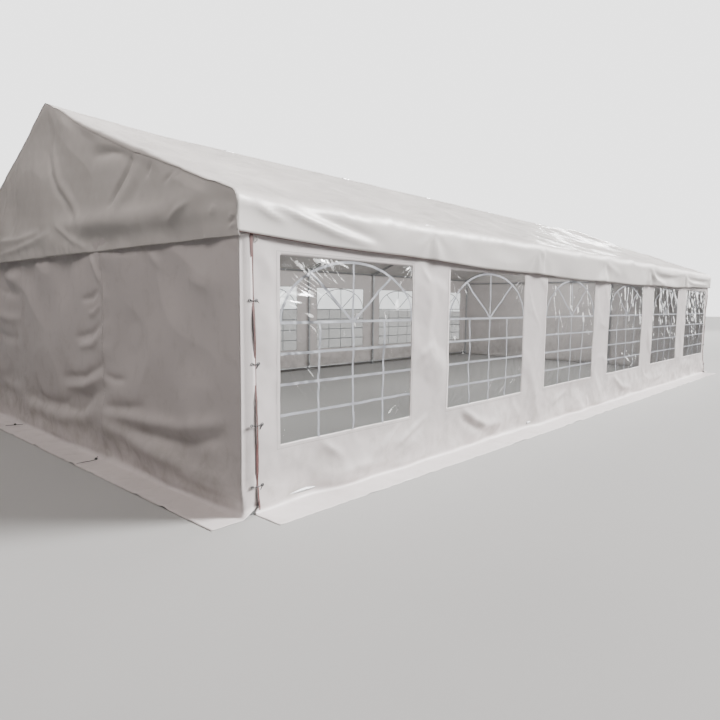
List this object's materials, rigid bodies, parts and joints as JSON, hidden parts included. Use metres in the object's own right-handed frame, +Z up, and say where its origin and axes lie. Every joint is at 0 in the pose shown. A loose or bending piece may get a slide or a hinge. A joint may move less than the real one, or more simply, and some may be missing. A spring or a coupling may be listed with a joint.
{
  "type": "marquee tent",
  "caption": "White PVC marquee tent with a pitched roof on a steel tube frame, arched clear windows in both long walls, zipped gable doors and ground flaps.",
  "frame": {"origin": "on the ground at the middle of the tent", "axes": "+X along the tent towards its right gable, +Y across it towards the back wall, +Z up"},
  "size_m": [12.53, 6.53, 3.2],
  "materials": {
    "galvanised_steel": "dull galvanised",
    "roof_pvc": "white PVC-coated cloth, satin to glossy",
    "wall_pvc": "white PVC-coated cloth, satin",
    "clear_film": "clear PVC film, glossy",
    "tie_cord": "black braided cord, matt"
  },
  "bodies": {
    "root": {"arch_frame_1_front": "galvanised_steel", "arch_frame_1_back": "galvanised_steel", "arch_frame_2_front": "galvanised_steel", "arch_frame_2_back": "galvanised_steel", "arch_frame_3_front": "galvanised_steel", "arch_frame_3_back": "galvanised_steel", "arch_frame_4_front": "galvanised_steel", "arch_frame_4_back": "galvanised_steel", "arch_frame_5_front": "galvanised_steel", "arch_frame_5_back": "galvanised_steel", "arch_frame_6_front": "galvanised_steel", "arch_frame_6_back": "galvanised_steel", "arch_frame_7_front": "galvanised_steel", "arch_frame_7_back": "galvanised_steel", "ridge_purlin": "galvanised_steel", "mid_purlin_front": "galvanised_steel", "mid_purlin_back": "galvanised_steel", "eave_purlin_front": "galvanised_steel", "eave_purlin_back": "galvanised_steel", "base_rail_front": "galvanised_steel", "base_rail_back": "galvanised_steel", "gable_frame_left": "galvanised_steel", "gable_frame_right": "galvanised_steel", "roof_cover": "roof_pvc", "valance_front": "roof_pvc", "valance_back": "roof_pvc", "gable_sheet_left": "roof_pvc", "gable_sheet_right": "roof_pvc", "side_wall_front": "wall_pvc", "side_wall_back": "wall_pvc", "window_front_1": "clear_film", "window_front_2": "clear_film", "window_front_3": "clear_film", "window_front_4": "clear_film", "window_front_5": "clear_film", "window_front_6": "clear_film", "window_back_1": "clear_film", "window_back_2": "clear_film", "window_back_3": "clear_film", "window_back_4": "clear_film", "window_back_5": "clear_film", "window_back_6": "clear_film", "gable_wall_left_front": "wall_pvc", "gable_wall_left_back": "wall_pvc", "gable_wall_right_front": "wall_pvc", "gable_wall_right_back": "wall_pvc", "gable_door_left": "wall_pvc", "gable_door_right": "wall_pvc", "ground_flap_front": "wall_pvc", "ground_flap_back": "wall_pvc", "ground_flap_left": "wall_pvc", "ground_flap_right": "wall_pvc", "door_tie_left_front": "tie_cord", "door_tie_left_back": "tie_cord", "door_tie_right_front": "tie_cord", "door_tie_right_back": "tie_cord"}
  },
  "joints": []
}
